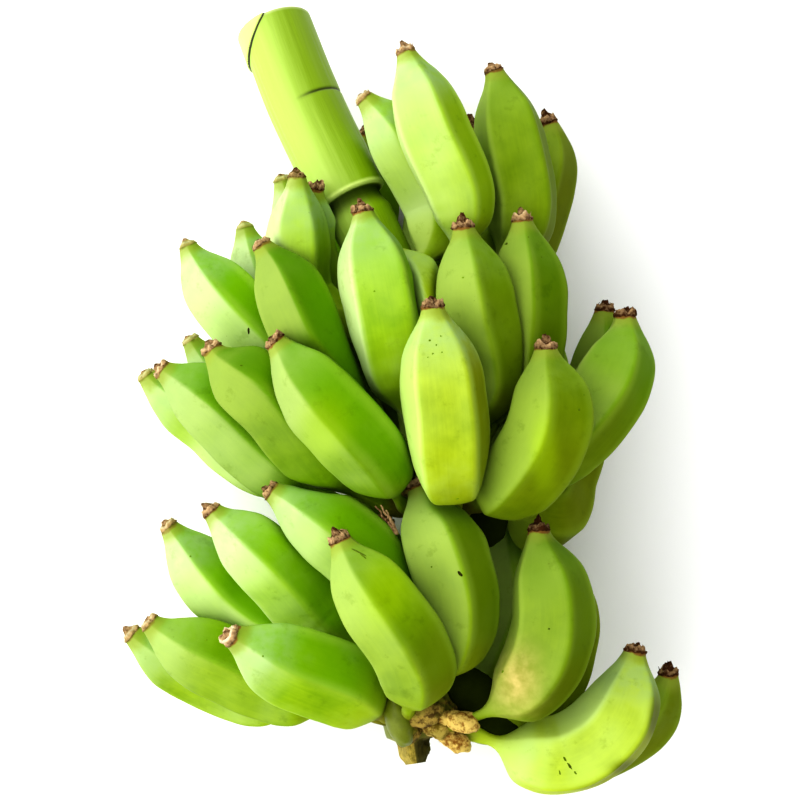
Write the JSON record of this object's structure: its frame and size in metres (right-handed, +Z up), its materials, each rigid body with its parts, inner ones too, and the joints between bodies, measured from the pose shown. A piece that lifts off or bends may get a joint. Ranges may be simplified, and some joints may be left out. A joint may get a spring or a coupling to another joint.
{
  "type": "banana bunch",
  "caption": "Bunch of short, angular green cooking bananas on a cut stalk, lying down: tiers of plump fingers on pedicels, each with a tapered neck and a dried flower scar.",
  "frame": {"origin": "centre of the bunch's box on the surface that it lies on", "axes": "+Z up, +Y along the stalk towards its cut top, +X to the right when seen from above with the cut top away from the viewer"},
  "size_m": [0.283, 0.3974, 0.1759],
  "materials": {
    "green_skin": "waxy fruit skin, yellow-green, satin",
    "stalk_green": "fresh plant stalk, yellow-green, satin"
  },
  "bodies": {
    "root": {"hand_1_banana_01": "green_skin", "hand_1_banana_02": "green_skin", "hand_1_banana_03": "green_skin", "hand_1_banana_04": "green_skin", "hand_1_banana_05": "green_skin", "hand_1_banana_06": "green_skin", "hand_1_banana_07": "green_skin", "hand_1_banana_08": "green_skin", "hand_1_banana_09": "green_skin", "hand_1_banana_10": "green_skin", "hand_1_banana_11": "green_skin", "hand_1_banana_12": "green_skin", "hand_2_banana_01": "green_skin", "hand_2_banana_02": "green_skin", "hand_2_banana_03": "green_skin", "hand_2_banana_04": "green_skin", "hand_2_banana_05": "green_skin", "hand_2_banana_06": "green_skin", "hand_2_banana_07": "green_skin", "hand_2_banana_08": "green_skin", "hand_2_banana_09": "green_skin", "hand_2_banana_10": "green_skin", "hand_2_banana_11": "green_skin", "hand_2_banana_12": "green_skin", "hand_2_banana_13": "green_skin", "hand_2_banana_14": "green_skin", "hand_2_banana_15": "green_skin", "hand_2_banana_16": "green_skin", "hand_2_banana_17": "green_skin", "hand_2_banana_18": "green_skin", "hand_2_banana_19": "green_skin", "hand_2_banana_20": "green_skin", "hand_3_banana_01": "green_skin", "hand_3_banana_02": "green_skin", "hand_3_banana_03": "green_skin", "hand_3_banana_04": "green_skin", "hand_3_banana_05": "green_skin", "hand_3_banana_06": "green_skin", "hand_3_banana_07": "green_skin", "hand_3_banana_08": "green_skin", "hand_3_banana_09": "green_skin", "hand_3_banana_10": "green_skin", "hand_3_banana_11": "green_skin", "hand_3_banana_12": "green_skin", "hand_3_banana_13": "green_skin", "hand_3_banana_14": "green_skin", "hand_3_banana_15": "green_skin", "hand_3_banana_16": "green_skin", "hand_3_banana_17": "green_skin", "stalk": "stalk_green"}
  },
  "joints": []
}
